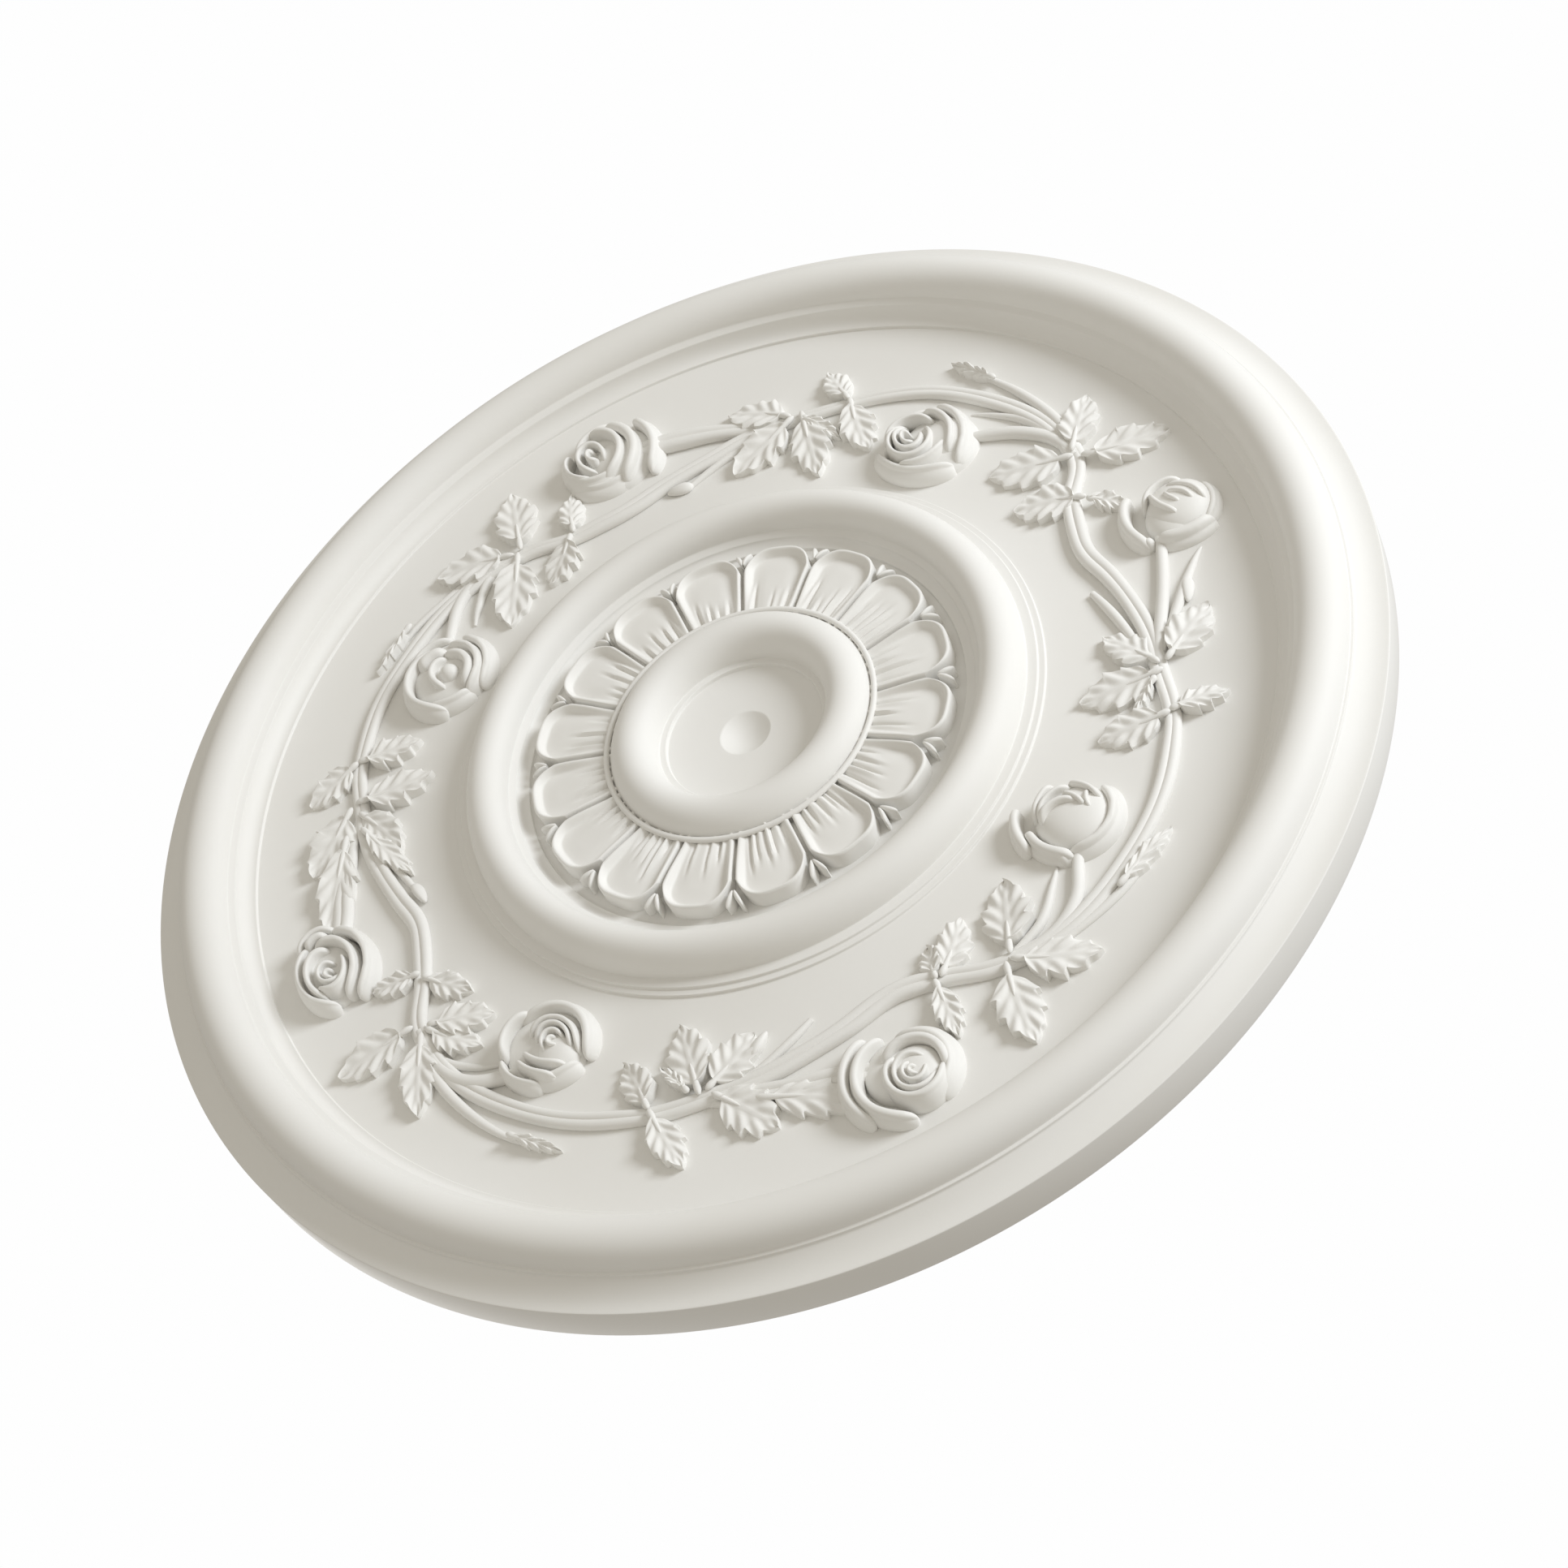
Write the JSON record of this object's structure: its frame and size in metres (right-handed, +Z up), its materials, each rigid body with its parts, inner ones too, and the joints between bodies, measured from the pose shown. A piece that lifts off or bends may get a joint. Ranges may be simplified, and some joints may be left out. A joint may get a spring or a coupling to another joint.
{
  "type": "ceiling medallion",
  "caption": "Round moulded ceiling medallion with a rolled rim, a garland of roses and leaves on its flat field, and a petalled rosette round a central well",
  "frame": {"origin": "centre of the flat back, where it meets the ceiling", "axes": "+Z points up into the ceiling, along the axis of the round body; the carved face looks down along -Z; a rose lies close to the -Y side of the garland's outer ring and the garland repeats every quarter turn"},
  "size_m": [0.6, 0.6, 0.0373],
  "materials": {
    "primed_polyurethane": "matt white primer over moulded high-density foam"
  },
  "bodies": {
    "root": {"ceiling_medallion": "primed_polyurethane"}
  },
  "joints": []
}
